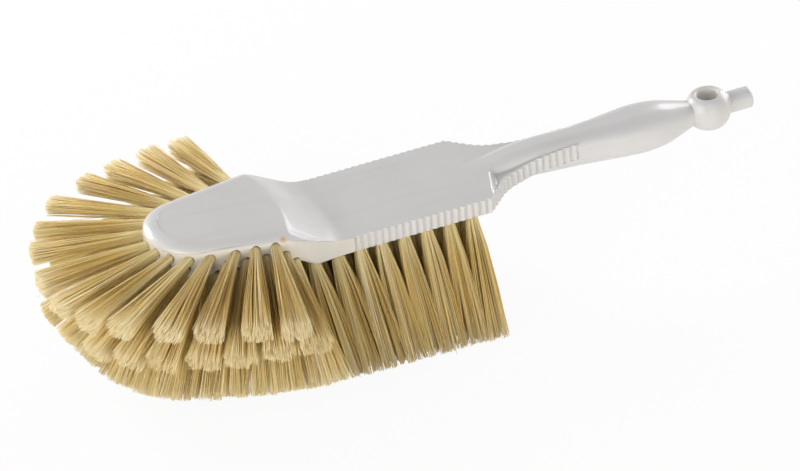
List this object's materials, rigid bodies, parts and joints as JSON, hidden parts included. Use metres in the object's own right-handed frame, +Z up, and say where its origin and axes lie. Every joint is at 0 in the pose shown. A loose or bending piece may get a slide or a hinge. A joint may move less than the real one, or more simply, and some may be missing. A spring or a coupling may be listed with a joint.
{
  "type": "counter brush",
  "caption": "Counter brush: moulded body with a ribbed block, raised round nose and slim hanging handle, and bristle tufts fanned round the nose and set straight under the block.",
  "frame": {"origin": "centre of the bounding box in length and width, on the plane of the trimmed bristle tips that the brush stands on", "axes": "+X from the fanned nose to the peg at the handle's end, +Z up, +Y to the right when looking from the handle's end to the nose"},
  "size_m": [0.3898, 0.1842, 0.0856],
  "materials": {
    "ivory_gloss_plastic": "smooth, lightly glossy, slightly yellowed ivory",
    "straw_bristle": "coarse straw-coloured fibre"
  },
  "bodies": {
    "root": {"brush_body": "ivory_gloss_plastic", "upper_tuft_01": "straw_bristle", "upper_tuft_02": "straw_bristle", "upper_tuft_03": "straw_bristle", "upper_tuft_04": "straw_bristle", "upper_tuft_05": "straw_bristle", "upper_tuft_06": "straw_bristle", "upper_tuft_07": "straw_bristle", "upper_tuft_08": "straw_bristle", "upper_tuft_09": "straw_bristle", "upper_tuft_10": "straw_bristle", "upper_tuft_11": "straw_bristle", "upper_tuft_12": "straw_bristle", "upper_tuft_13": "straw_bristle", "upper_tuft_14": "straw_bristle", "upper_tuft_15": "straw_bristle", "middle_tuft_01": "straw_bristle", "middle_tuft_02": "straw_bristle", "middle_tuft_03": "straw_bristle", "middle_tuft_04": "straw_bristle", "middle_tuft_05": "straw_bristle", "middle_tuft_06": "straw_bristle", "middle_tuft_07": "straw_bristle", "middle_tuft_08": "straw_bristle", "middle_tuft_09": "straw_bristle", "middle_tuft_10": "straw_bristle", "middle_tuft_11": "straw_bristle", "middle_tuft_12": "straw_bristle", "middle_tuft_13": "straw_bristle", "middle_tuft_14": "straw_bristle", "middle_tuft_15": "straw_bristle", "middle_tuft_16": "straw_bristle", "lower_tuft_01": "straw_bristle", "lower_tuft_02": "straw_bristle", "lower_tuft_03": "straw_bristle", "lower_tuft_04": "straw_bristle", "lower_tuft_05": "straw_bristle", "lower_tuft_06": "straw_bristle", "lower_tuft_07": "straw_bristle", "lower_tuft_08": "straw_bristle", "lower_tuft_09": "straw_bristle", "lower_tuft_10": "straw_bristle", "lower_tuft_11": "straw_bristle", "lower_tuft_12": "straw_bristle", "lower_tuft_13": "straw_bristle", "lower_tuft_14": "straw_bristle", "lower_tuft_15": "straw_bristle", "lower_tuft_16": "straw_bristle", "lower_tuft_17": "straw_bristle", "block_tuft_row_1": "straw_bristle", "block_tuft_row_2": "straw_bristle", "block_tuft_row_3": "straw_bristle", "block_tuft_row_4": "straw_bristle", "block_tuft_row_5": "straw_bristle", "under_nose_tuft_row_1": "straw_bristle", "under_nose_tuft_row_2": "straw_bristle"}
  },
  "joints": []
}
